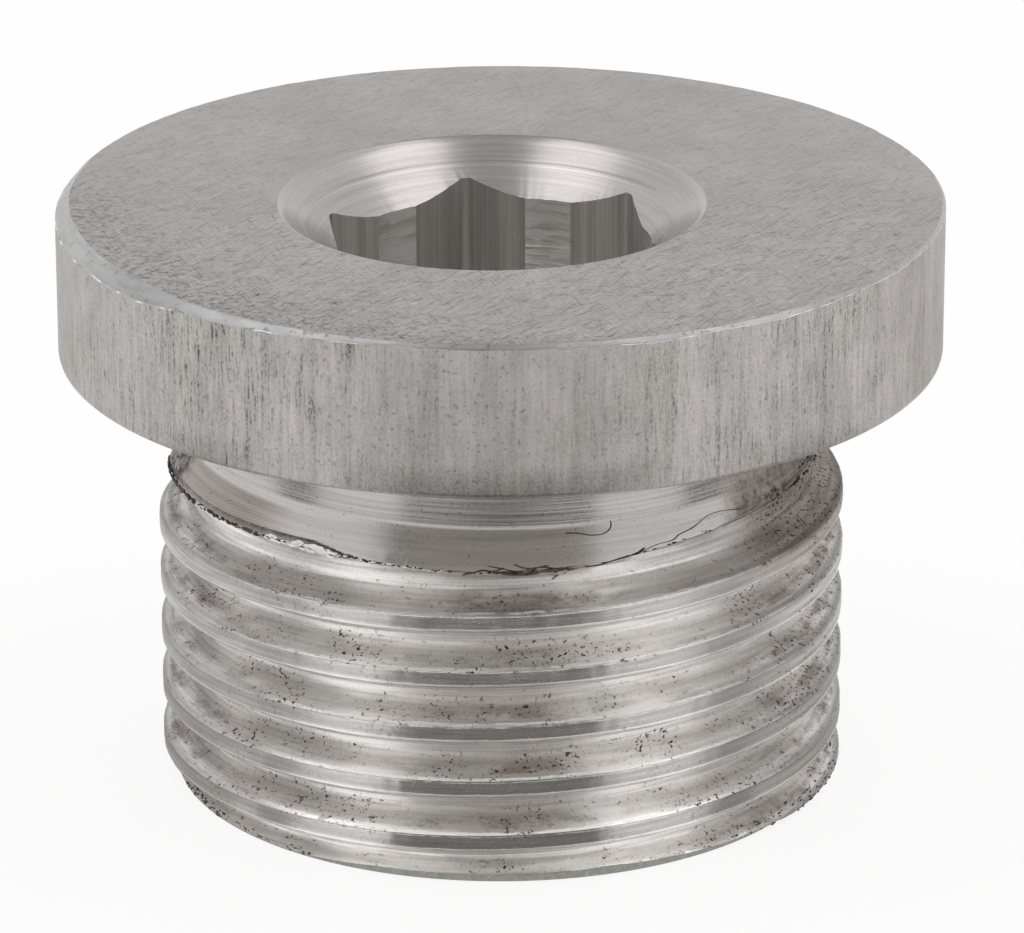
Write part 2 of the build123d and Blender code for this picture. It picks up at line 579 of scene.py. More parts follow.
def end_band(bm, form, rows):
    """The stud's end: level rows down the chamfer and the ring, then the end face."""
    edges = [e for e in bm.edges if e.is_boundary and e.verts[0].co.z < END_BAND + SAME]
    for vert in {v for e in edges for v in e.verts}:
        vert[rows] = BAND_ROWS
    for number in range(1, END_LEVELS + 3):
        edges, verts = extruded(bm, edges)
        for vert in verts:
            vert[rows] = BAND_ROWS + number
            angle = angle_of(vert.co)
            top = form.land_top(angle)
            if number <= END_LEVELS:
                z = top + 0.004 + (END_BAND - top) * (1 - number / END_LEVELS)
                radius = form.stud_at(angle, z)
            else:
                z = top * 0.98 if number == END_LEVELS + 1 else 0.012
                radius = form.land_radius
            move_to(vert, angle, radius, z)
    for inner in (form.land_radius - 0.012, 7.9, 4.0, 0.0):
        edges, verts = extruded(bm, edges)
        for vert in verts:
            vert[rows] = END_FACE_ROWS
            vert.co = vert.co.xy.normalized().to_3d() * inner
    bmesh.ops.pointmerge(bm, verts=verts, merge_co=(0, 0, 0))


def region_of(form, face, rows, head):
    """Name of the surface that a face lies on."""
    centre = face.calc_center_median()
    numbers = [vert[rows] for vert in face.verts]
    if min(numbers) >= HEAD_ROWS:
        region = head[min(numbers) - HEAD_ROWS][3]
        wall = form.hexagon_at(angle_of(centre - form.socket))
        if region == "hexagon_wall" and wall <= form.bore_radius + SAME:
            return "bore_wall"
        return region
    if max(numbers) == END_FACE_ROWS:
        return "end_face"
    if max(numbers) == END_RING_ROW:
        return "end_ring"
    radius, _offset = form.groove_at(angle_of(centre), centre.z)
    return "relief" if form.cone_at(centre.z) <= radius else "thread"


def turned_plug_mesh(form):
    """The whole plug as one closed mesh."""
    bm = bmesh.new()
    rows = bm.verts.layers.int.new("row")
    screw_thread(bm, form, rows)
    for vert in bm.verts:
        vert[rows] = 0
    end_band(bm, form, rows)
    head = head_rows(form)
    spin_up(bm, chain(bm, head_line(head), rows, HEAD_ROWS), form, 0)
    for vert in bm.verts:
        if vert[rows] >= HEAD_ROWS:
            row = head[vert[rows] - HEAD_ROWS]
            vert.co = place_head_vertex(form, row, angle_of(vert.co))
    bmesh.ops.remove_doubles(bm, verts=bm.verts, dist=DOUBLES)
    bmesh.ops.recalc_face_normals(bm, faces=bm.faces)
    for face in bm.faces:
        face.smooth = True
        face.material_index = REGIONS.index(region_of(form, face, rows, head))
    for edge in bm.edges:
        if len(edge.link_faces) == 2:
            kinds = {REGIONS[face.material_index] for face in edge.link_faces}
            broach_step = kinds == {"hexagon_wall", "bore_wall"}
            edge.smooth = not broach_step and edge.calc_face_angle(0) < SHARP_EDGE
    return bm


def head_line(head):
    """Stand-in radii and heights, far enough apart for the spin, that the rows then replace."""
    return [(0 if number == 0 else 1 + number * 0.2, 20 + number) for number in range(len(head))]


def placed(name, data):
    """A new object in the scene, at the origin."""
    thing = bpy.data.objects.new(name, data)
    bpy.context.scene.collection.objects.link(thing)
    return thing


def object_from(bm, name, materials):
    """An object from a mesh in metres, with its materials in order."""
    mesh = bpy.data.meshes.new(name)
    bm.to_mesh(mesh)
    bm.free()
    for material in materials:
        mesh.materials.append(material)
    return placed(name, mesh)


def plug_piece(bm, name, materials):
    """A piece that rides on the plug, from a mesh in millimetres."""
    bmesh.ops.scale(bm, vec=(MM, MM, MM), verts=bm.verts)
    piece = object_from(bm, name, materials)
    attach(piece, BODY)
    return piece


# ---------------------------------------------------------------- burr, dirt and swarf

# Lumps along the edge where the last groove meets the cone:
# (degrees from the front: from, to, how many, length, height in millimetres).
BURR_CRUMBS = (
    (-93, -66, 70, 0.13, 0.075), (-66, -46, 46, 0.13, 0.06), (-46, -30, 20, 0.1, 0.035),
    (-30, -8, 40, 0.07, 0.035), (-8, 12, 22, 0.09, 0.03), (12, 40, 16, 0.09, 0.02),
    (55, 82, 26, 0.08, 0.045),
)
BURR_FLAKES = (
    (-67, -46, 12, 0.1, 0.04), (-44, -37, 10, 0.3, 0.1), (-37, -29, 12, 0.32, 0.13),
    (-29, -8, 34, 0.09, 0.045),
)
# Dirt that lies in patches: (degrees: from, to, height: from, to, how many, size).
DIRT_PATCHES = (
    (54, 80, 8.3, 9.2, 110, 0.06), (60, 84, 7.4, 8.4, 60, 0.045),
    (-92, -80, 8.4, 10.6, 24, 0.07),
    (-84, -58, 0.03, 0.13, 90, 0.07), (-58, -36, 0.04, 0.12, 40, 0.045),
    (42, 80, 0.14, 0.36, 120, 0.055), (15, 42, 0.24, 0.36, 26, 0.03),
    (70, 89, 0.4, 1.6, 26, 0.07), (50, 72, 3.2, 4.6, 20, 0.05), (58, 80, 5.2, 7.4, 26, 0.045),
)
# Threads of swarf: (thickness, points as degrees from the front and height).
SWARF = (
    (0.015, ((11.2, 9.28), (13.4, 9.26), (15.9, 9.18), (18.3, 9.19), (19.7, 9.31), (19.8, 9.47))),
    (0.01, ((23.0, 8.6), (27.4, 8.75), (30.9, 8.78), (32.5, 8.87), (35.7, 8.95), (39.3, 9.12),
             (43.4, 9.11), (47.4, 9.0), (49.4, 9.02))),
    (0.03, ((-0.4, 8.46), (2.0, 8.36), (4.4, 8.33), (6.8, 8.46), (11.5, 8.49))),
    (0.022, ((2.1, 8.64), (3.6, 8.56), (5.1, 8.53), (8.0, 8.59))),
    (0.024, ((-0.1, 8.42), (1.6, 8.34), (3.4, 8.36), (5.1, 8.52), (6.2, 8.44))),
    (0.02, ((-6.7, 8.26), (-5.6, 8.38), (-3.3, 8.5), (-1.3, 8.48), (0.4, 8.56))),
    (0.02, ((14.0, 8.5), (16.9, 8.5), (19.6, 8.57), (23.3, 8.64), (25.4, 8.74))),
    (0.016, ((8.9, 8.05), (10.1, 8.16), (11.4, 8.26))),
    (0.016, ((-2.5, 8.6), (0.5, 8.53), (3.0, 8.47), (6.5, 8.55), (9.5, 8.5))),
)


def on_stud(form, degrees, z):
    """A point on the stud and the way out from the axis there."""
    out = outwards(FRONT + math.radians(degrees))
    return out * form.surface_at(angle_of(out), z) + Vector((0, 0, z)), out


def lump(bm, place, out, size, seed):
    """A small uneven lump, its size given along the ring, outwards and up."""
    along, up = Vector((-out.y, out.x, 0)), Vector((0, 0, 1))
    for vert in bmesh.ops.create_icosphere(bm, subdivisions=1, radius=1)["verts"]:
        co = vert.co * (1 + 0.5 * noise.noise(vert.co * 1.7 + Vector((seed * 3.7, 0, 0))))
        vert.co = place + along * co.x * size[0] + out * -co.y * size[1] + up * co.z * size[2]


def burr_lumps(form, table, seed):
    """Lumps strung along the edge where the last groove meets the cone."""
    bm = bmesh.new()
    dice = random.Random(seed)
    for left, right, count, long, high in table:
        for _ in range(count):
            turned = FRONT + math.radians(dice.uniform(left, right))
            angle = math.atan2(math.sin(turned), math.cos(turned))
            edge, out = form.burr_z(angle), outwards(angle)
            z = edge + dice.uniform(-0.5, 0.6) * high
            scale = dice.uniform(0.4, 1.0)
            size = (long * scale, 0.045 * scale, high * dice.uniform(0.4, 1.0))
            place = out * (form.cone_at(edge) - 0.01) + Vector((0, 0, z))
            lump(bm, place, out, size, dice.random() * 50)
    return bm


def dirt_lumps(form):
    """Crumbs of dirt in patches on the stud, none of them below the end face."""
    bm = bmesh.new()
    dice = random.Random(3)
    for left, right, low, high, count, big in DIRT_PATCHES:
        for _ in range(count):
            degrees, z = dice.uniform(left, right), dice.uniform(low, high)
            place, out = on_stud(form, degrees, z)
            scale = dice.uniform(0.3, 1.0) ** 1.5 * big
            size = (scale * dice.uniform(0.7, 1.8), scale * 0.45, scale * dice.uniform(0.6, 1.2))
            lump(bm, place - out * scale * 0.15, out, size, dice.random() * 50)
    for vert in bm.verts:
        vert.co.z = max(vert.co.z, 0.0)
    return bm


def through(points, steps):
    """Points of a smooth line through the given pairs."""
    line = []
    ends = [points[0], *points, points[-1]]
    for p0, p1, p2, p3 in zip(ends, ends[1:], ends[2:], ends[3:]):
        for step in range(steps):
            t = step / steps
            line.append(
                tuple(
                    0.5 * (2 * b + (c - a) * t + (2 * a - 5 * b + 4 * c - d) * t * t
                           + (3 * b - a - 3 * c + d) * t ** 3)
                    for a, b, c, d in zip(p0, p1, p2, p3)
                )
            )
    return line + [points[-1]]


def swarf_thread(bm, form, thickness, points):
    """One curled thread of swarf, a five sided tube drawn along its line."""
    stops = []
    for degrees, z in through(points, 4):
        place, out = on_stud(form, degrees, z)
        stops.append((place + out * thickness * (0.9 + noise.noise(place * 4)), out))
    frames = []
    for number, (place, out) in enumerate(stops):
        before, after = stops[max(number - 1, 0)][0], stops[min(number + 1, len(stops) - 1)][0]
        ahead = (after - before).normalized()
        side = out.cross(ahead).normalized()
        taper = 0.35 if number in (0, len(stops) - 1) else 1.0
        frame = Matrix((side, ahead.cross(side), ahead)).transposed() * taper
        frames.append(Matrix.Translation(place) @ frame.to_4x4())
    verts = bmesh.ops.create_circle(bm, segments=5, radius=thickness)["verts"]
    edges = list(dict.fromkeys(edge for vert in verts for edge in vert.link_edges))
    bmesh.ops.transform(bm, matrix=frames[0], verts=verts)
    start = edges
    for old, new in zip(frames, frames[1:]):
        edges, verts = extruded(bm, edges)
        bmesh.ops.transform(bm, matrix=new @ old.inverted(), verts=verts)
    bmesh.ops.holes_fill(bm, edges=start + edges)


# ---------------------------------------------------------------- finishes


class Finish:
    """One finish of the metal: a Principled material and short calls that add its nodes."""

    def __init__(self, name):
        self.material = bpy.data.materials.new(name)
        self.material.use_nodes = True
        self.nodes = self.material.node_tree.nodes
        self.links = self.material.node_tree.links
        self.surface = self.nodes["Principled BSDF"]
        where = self.add("ShaderNodeTexCoord").outputs["Object"]
        self.place = self.vector("SCALE", {0: where, "Scale": 1 / MM})  # millimetres
        self.x, self.y, self.z = self.add("ShaderNodeSeparateXYZ", inputs={0: self.place}).outputs
        self.radius = self.reach(0, 0)
        flat = self.vector("NORMALIZE", {0: self.join(self.x, self.y, 0.0)})
        sideways, towards = outwards(FRONT + TURN / 4), outwards(FRONT)
        # sine and cosine of the angle from the front
        self.right = self.vector("DOT_PRODUCT", {0: flat, 1: sideways}, "Value")
        self.front = self.vector("DOT_PRODUCT", {0: flat, 1: towards}, "Value")

    def add(self, kind, settings=None, inputs=None):
        node = self.nodes.new(kind)
        for name, value in (settings or {}).items():
            setattr(node, name, value)
        for name, value in (inputs or {}).items():
            self.feed(node.inputs[name], value)
        return node

    def feed(self, socket, value):
        if isinstance(value, bpy.types.NodeSocket):
            self.links.new(value, socket)
        else:
            socket.default_value = value

    def math(self, operation, first, *more):
        """Result of an operation on one value, or on two or more taken in turn."""
        result = first
        for value in more or (0.0,):
            inputs = {0: result, 1: value}
            result = self.add("ShaderNodeMath", {"operation": operation}, inputs).outputs[0]
        return result

    def times(self, *values):
        return self.math("MULTIPLY", *values)

    def plus(self, *values):
        return self.math("ADD", *values)

    def most(self, *values):
        return self.math("MAXIMUM", *values)

    def vector(self, operation, inputs, output="Vector"):
        return self.add("ShaderNodeVectorMath", {"operation": operation}, inputs).outputs[output]

    def join(self, x, y, z):
        return self.add("ShaderNodeCombineXYZ", inputs={0: x, 1: y, 2: z}).outputs[0]

    def reach(self, x, y):
        """Distance in millimetres from an upright line through X, Y."""
        dx, dy = self.math("SUBTRACT", self.x, x), self.math("SUBTRACT", self.y, y)
        return self.math("SQRT", self.plus(self.times(dx, dx), self.times(dy, dy)))

    def ramp(self, value, low, high, start=0.0, end=1.0):
        """Smooth step from start to end while the value goes from low to high."""
        inputs = {"Value": value, "From Min": low, "From Max": high, "To Min": start, "To Max": end}
        settings = {"interpolation_type": "SMOOTHSTEP", "clamp": True}
        return self.add("ShaderNodeMapRange", settings, inputs).outputs[0]

    def sway(self, value, half_width, swing):
        """From -swing to swing while the value goes from below to above one half."""
        return self.ramp(value, 0.5 - half_width, 0.5 + half_width, -swing, swing)

    def bell(self, value, middle, half_width):
        """One at the middle, zero at half_width to either side."""
        off = self.math("ABSOLUTE", self.math("SUBTRACT", value, middle))
        return self.ramp(off, half_width, 0.0)

    def stretched(self, x, y, z, turn=0.0, shift=0.0):
        """Position scaled along axes that are turned about Z, in grains per millimetre."""
        inputs = {
            "Vector": self.place,
            "Location": (shift, shift * 0.7, shift * 0.3),
            "Rotation": (0, 0, turn),
            "Scale": (1 / x, 1 / y, 1 / z),
        }
        return self.add("ShaderNodeMapping", {"vector_type": "TEXTURE"}, inputs).outputs[0]

    def noise(self, place, detail=2.0, roughness=0.5):
        inputs = {"Vector": place, "Scale": 1.0, "Detail": detail, "Roughness": roughness}
        return self.add("ShaderNodeTexNoise", inputs=inputs).outputs[0]

    def grain(self, grains, detail=2.0, roughness=0.5, shift=0.0):
        """Noise of the same size all ways."""
        return self.noise(self.stretched(grains, grains, grains, shift=shift), detail, roughness)

    def spots(self, grains, low, high, detail=2.0, shift=0.0):
        """Scattered spots: one inside them, zero between."""
        return self.ramp(self.grain(grains, detail, 0.6, shift), low, high)

    def mix(self, share, a, b):
        """Blend of two colours."""
        settings = {"data_type": "RGBA", "clamp_factor": True}
        return self.add("ShaderNodeMix", settings, {0: share, 6: a, 7: b}).outputs[2]

    def blend(self, share, a, b):
        """Blend of two numbers."""
        settings = {"data_type": "FLOAT", "clamp_factor": True}
        return self.add("ShaderNodeMix", settings, {0: share, 2: a, 3: b}).outputs[0]

    def bump(self, height, depth):
        """Relief of the surface, depth in millimetres for a height from 0 to 1."""
        inputs = {"Strength": 1.0, "Distance": depth * MM, "Height": height}
        return self.add("ShaderNodeBump", inputs=inputs).outputs[0]

    def finish(self, base, roughness, normal=None, metallic=1.0):
        """Feed the surface and hand over the material."""
        sockets = self.surface.inputs
        self.feed(sockets["Base Color"], base)
        self.feed(sockets["Roughness"], roughness)
        self.feed(sockets["Metallic"], metallic)
        if normal is not None:
            self.feed(sockets["Normal"], normal)
        return self.material

    def shaded(self, base, shade):
        """The base colour made lighter or darker by a number."""
        return self.vector("SCALE", {0: tuple(base), "Scale": shade})


def opaque(tint):
    """A colour with its fourth value."""
    return tuple(tint) + (1.0,)


def collar_side_finish(colours):
    """Drawn bar skin: broken streaks along the axis, pits and olive patches."""
    f = Finish("drawn_collar_side")
    side = f.math("ABSOLUTE", f.plus(f.right, -0.02))
    worn = f.plus(f.bell(side, 0.62, 0.5), f.times(f.ramp(f.right, -0.1, -0.4), 0.3))
    fine = f.noise(f.stretched(15, 15, 1.3), 3, 0.6)
    broken = f.noise(f.stretched(16, 16, 9, shift=3), 3, 0.7)
    lines = f.noise(f.stretched(6, 6, 0.2, shift=7), 2)
    bands = f.noise(f.stretched(1.5, 1.5, 0.05, shift=17), 2)
    patch = f.grain(0.5, 3, shift=5)
    grain = f.noise(f.stretched(15, 15, 13), 3, 0.7)
    strong = f.times(f.ramp(patch, 0.36, 0.6, 0.35, 1.0), f.plus(0.45, f.times(worn, 0.75)))
    streak = f.times(f.ramp(fine, 0.5, 0.62), f.ramp(broken, 0.42, 0.56))
    column = f.times(f.ramp(lines, 0.52, 0.66), f.ramp(broken, 0.46, 0.56))
    dark = f.times(f.plus(f.times(streak, 0.8), f.times(column, 0.45)), strong)
    light = f.times(f.ramp(fine, 0.46, 0.32), f.plus(0.5, f.times(worn, 0.6)))
    pits = f.times(f.spots(7, 0.6, 0.68, 3, shift=11), f.ramp(patch, 0.56, 0.4, 0.25, 1.0))
    shade = f.plus(
        1.03,
        f.times(dark, -0.5),
        f.times(light, 0.1),
        f.times(pits, -0.25),
        f.sway(lines, 0.16, -0.05),
        f.sway(bands, 0.16, 0.04),
        f.sway(f.noise(f.stretched(1.1, 1.1, 0.9, shift=21), 3), 0.16, 0.06),
        f.sway(grain, 0.16, 0.12),
    )
    height = f.plus(f.times(fine, 0.8), f.times(grain, 0.5), f.times(pits, -0.5))
    roughness = f.plus(0.38, f.times(dark, 0.12), f.sway(grain, 0.2, 0.06))
    base = f.shaded(colours.collar, shade)
    olive = f.shaded([c * k for c, k in zip(colours.collar, (0.95, 0.965, 0.91))], shade)
    base = f.mix(f.times(f.ramp(patch, 0.5, 0.62), 0.8), base, olive)
    return f.finish(base, roughness, f.bump(height, 0.01))


def collar_face_finish(colours):
    """Faced collar, criss-crossed by short fine scratches, worse towards the front rim."""
    f = Finish("scratched_collar_face")
    grain = f.grain(14, 3, 0.7)
    patch = f.grain(0.5, 3, shift=2)
    dark, light = 0.0, 0.0
    for number, degrees in enumerate((84, 62, 23, 74, 128)):
        long = 0.8 if number < 2 else 1.7
        line = f.noise(f.stretched(long, 14 + number, 4, math.radians(degrees), number * 9), 2)
        dark = f.plus(dark, f.ramp(line, 0.58, 0.7))
        light = f.plus(light, f.ramp(line, 0.4, 0.28))
    near = f.ramp(f.front, -0.6, 0.7, 0.5, 1.0)
    dents = f.times(f.spots(5, 0.53, 0.64, 4, shift=8), f.ramp(patch, 0.38, 0.6))
    scuffed = f.times(f.ramp(f.right, 0.55, -0.5), f.ramp(f.radius, 8.2, 10.9))
    scuffed = f.times(scuffed, f.ramp(f.front, -0.3, 0.1))
    scuffs = f.times(f.spots(5.5, 0.48, 0.6, 4, shift=8), scuffed)
    shade = f.plus(
        1.02,
        f.times(dark, near, -0.26),
        f.times(light, near, 0.15),
        f.times(scuffs, -0.34),
        f.times(dents, near, -0.2),
        f.sway(patch, 0.2, 0.06),
        f.times(f.sway(grain, 0.18, 0.12), near),
    )
    height = f.plus(
        f.times(dark, -0.5), f.times(light, 0.3), f.times(grain, 0.3), f.times(scuffs, -0.8)
    )
    roughness = f.plus(0.46, f.sway(grain, 0.2, 0.06))
    return f.finish(f.shaded(colours.face, shade), roughness, f.bump(height, 0.008))


def broken_edge_finish(colours):
    """Collar's broken edge: rubbed smooth, with painted shade in front and painted light at the
    sides.
    """
    f = Finish("rubbed_edge")
    along = f.noise(f.stretched(1.2, 1.2, 8), 3)
    grain = f.grain(12, 3, 0.6)
    nick = f.spots(5.0, 0.6, 0.68, 3, shift=6)
    side = f.math("ABSOLUTE", f.right)
    shade = f.plus(
        0.84,
        # painted dark reflection in front, and painted light towards the left and right
        f.times(f.bell(f.right, -0.06, 0.2), -0.16),
        f.ramp(side, 0.8, 0.96, 0.0, 0.24),
        f.times(nick, -0.2),
        f.sway(along, 0.15, 0.06),
        f.sway(grain, 0.2, 0.03),
    )
    height = f.plus(f.times(along, 0.5), f.times(grain, 0.2), f.times(nick, -0.8))
    return f.finish(f.shaded(colours.rubbed, shade), 0.42, f.bump(height, 0.01))


def edge_line_finish(colours):
    """Lower border of the broken edge: painted glints here and there, a painted highlight along its
    right part, and dark nicks.
    """
    f = Finish("glinting_edge_line")
    # painted highlights: scattered glints, and a bright line along the right part
    painted_glint_dashes = f.ramp(f.grain(1.3, 3, 0.6, shift=4), 0.5, 0.56)
    nicks = f.ramp(f.grain(2.2, 3, 0.6, shift=14), 0.56, 0.62)
    bright = f.plus(f.times(painted_glint_dashes, 0.8), f.times(f.ramp(f.right, 0.2, 0.3), 0.45))
    shade = f.plus(1.0, bright, f.times(nicks, -0.5))
    return f.finish(f.shaded(colours.rubbed, shade), 0.3)


def ringed(f, radius, across, around=0.25, detail=3.0, shift=0.0):
    """Noise drawn out into rings: fine across them, long around."""
    place = f.join(
        f.times(f.x, around), f.times(f.y, around), f.plus(f.times(radius, across), shift)
    )
    return f.noise(place, detail, 0.6)


def countersink_finish(colours, sizes):
    """Countersink: bright rings left by the cutter; at the back a groove with painted shade and a
    painted highlight ring.
    """
    f = Finish("ringed_countersink")
    reach = f.reach(sizes.countersink_x / MM, sizes.countersink_y / MM)
    rings = ringed(f, reach, 13, 0.2)
    coarse = ringed(f, reach, 4.5, 0.15, 2, 5)
    grain = f.grain(13, 3, 0.6)
    # at the back: a groove line with painted shade in it, and a painted highlight ring just below
    line = f.times(f.bell(reach, 4.9, 0.03), f.ramp(f.front, -0.35, -0.7, 0.1, 0.7))
    painted_highlight_ring = f.times(f.bell(reach, 4.81, 0.035), f.ramp(f.front, -0.35, -0.7, 0.1, 1.0))
    shade = f.plus(
        1.0,
        f.sway(rings, 0.16, 0.07),
        f.sway(coarse, 0.15, 0.05),
        f.times(line, -0.4),
        f.times(painted_highlight_ring, 0.25),
        f.sway(grain, 0.2, 0.03),
    )
    height = f.plus(f.times(rings, 0.6), f.times(coarse, 0.8), f.times(line, -0.8))
    return f.finish(f.shaded(colours.sink, shade), 0.24, f.bump(height, 0.005))


def hexagon_wall_finish(colours):
    """Broached walls: striations down the socket."""
    f = Finish("broached_walls")
    fine = f.noise(f.stretched(16, 16, 0.12), 3, 0.6)
    wide = f.noise(f.stretched(2.6, 2.6, 0.05, shift=3), 1)
    dirt = f.spots(4.0, 0.66, 0.74, 3, shift=2)
    chips = f.spots(6.5, 0.73, 0.77, 2, shift=9)
    shade = f.plus(
        1.0,
        f.sway(fine, 0.18, 0.13),
        f.sway(wide, 0.14, 0.13),
        f.times(dirt, -0.35),
        f.times(chips, 0.7),
    )
    height = f.plus(fine, wide)
    return f.finish(f.shaded(colours.socket, shade), 0.42, f.bump(height, 0.01))


def bore_wall_finish(colours):
    """Drilled strips between the broached walls: rings and slanting scratches."""
    f = Finish("drilled_wall")
    rings = f.noise(f.stretched(0.5, 0.5, 6.5), 3, 0.6)
    fine = f.noise(f.stretched(1.0, 1.0, 16, shift=4), 2)
    streak = f.noise(f.stretched(1.4, 1.4, 3.3, shift=2), 2)
    shade = f.plus(
        1.0,
        f.sway(rings, 0.16, 0.24),
        f.sway(fine, 0.2, 0.08),
        f.ramp(streak, 0.52, 0.64, 0.2, 0.95),
    )
    return f.finish(f.shaded(colours.bore, shade), 0.33, f.bump(f.plus(rings, fine), 0.012))


def relief_finish(colours):
    """Neck and cone: fine turning rings, chatter at the left, dried dirt at both ends, painted
    shade at the front.
    """
    f = Finish("turned_relief")
    path = f.plus(f.z, f.radius)
    rings = ringed(f, path, 15, 0.16)
    coarse = ringed(f, path, 4, 0.1, 2, 3)
    grain = f.grain(13, 3, 0.65)
    angle = f.math("ARCTAN2", f.y, f.x)
    left = f.times(f.ramp(f.right, -0.6, -0.78), f.ramp(f.radius, 8.14, 8.2))
    chatter = f.grain(1.5, 2)
    weave = f.math("SINE", f.plus(f.times(f.z, 72), f.times(angle, -300), f.times(chatter, 9)))
    chattered = f.times(left, f.ramp(weave, -0.6, 0.8))
    right = f.times(f.ramp(f.right, 0.66, 0.76), f.ramp(f.z, 9.9, 9.2, 0.75, 1.0))
    right = f.times(right, f.ramp(f.front, -0.6, -0.1))
    scale_grain = f.grain(4.2, 5, 0.75, shift=3)
    corner = f.times(f.ramp(f.right, -0.95, -0.98), f.ramp(scale_grain, 0.36, 0.6, 0.0, 0.9))
    corner = f.times(corner, f.ramp(f.front, -0.08, 0.08))
    dirt = f.most(f.times(f.ramp(scale_grain, 0.42, 0.8), f.times(right, 0.85)), corner)
    specks = f.spots(9, 0.66, 0.73, 2, shift=1)
    shade = f.plus(
        1.0,
        f.sway(rings, 0.16, 0.1),
        f.sway(coarse, 0.14, 0.07),
        f.times(chattered, 0.12),
        f.times(left, -0.22),
        f.times(right, -0.3),
        # darker towards the right-hand edge, in the front half
        f.times(f.ramp(f.right, 0.74, 0.96), f.ramp(f.front, -0.5, 0.0, 0.0, -0.3)),
        # painted shade on the cone left of the middle, and a painted dark reflection on the front
        # of the neck
        f.times(f.bell(f.right, -0.32, 0.12), f.ramp(f.z, 9.4, 9.2, 0.0, -0.14)),
        f.times(f.bell(f.right, 0.0, 0.26), f.ramp(f.z, 9.3, 9.6, 0.0, -0.38)),
        f.times(specks, -0.45),
        f.sway(grain, 0.2, 0.05),
    )
    stained = f.most(f.times(left, 0.5), f.times(right, 0.8))
    base = f.mix(stained, f.shaded(colours.relief, shade), f.shaded(colours.film, shade))
    base = f.mix(dirt, base, opaque(colours.dirt))
    height = f.plus(f.times(rings, 0.7), f.times(coarse, 0.6), f.times(chattered, 0.5))
    roughness = f.plus(
        0.22, f.times(left, 0.22), f.times(right, 0.2), f.times(dirt, 0.3),
        f.ramp(grain, 0.3, 0.7, -0.03, 0.05),
    )
    metallic = f.ramp(dirt, 0.2, 0.9, 1.0, 0.2)
    return f.finish(base, roughness, f.bump(height, 0.006), metallic)


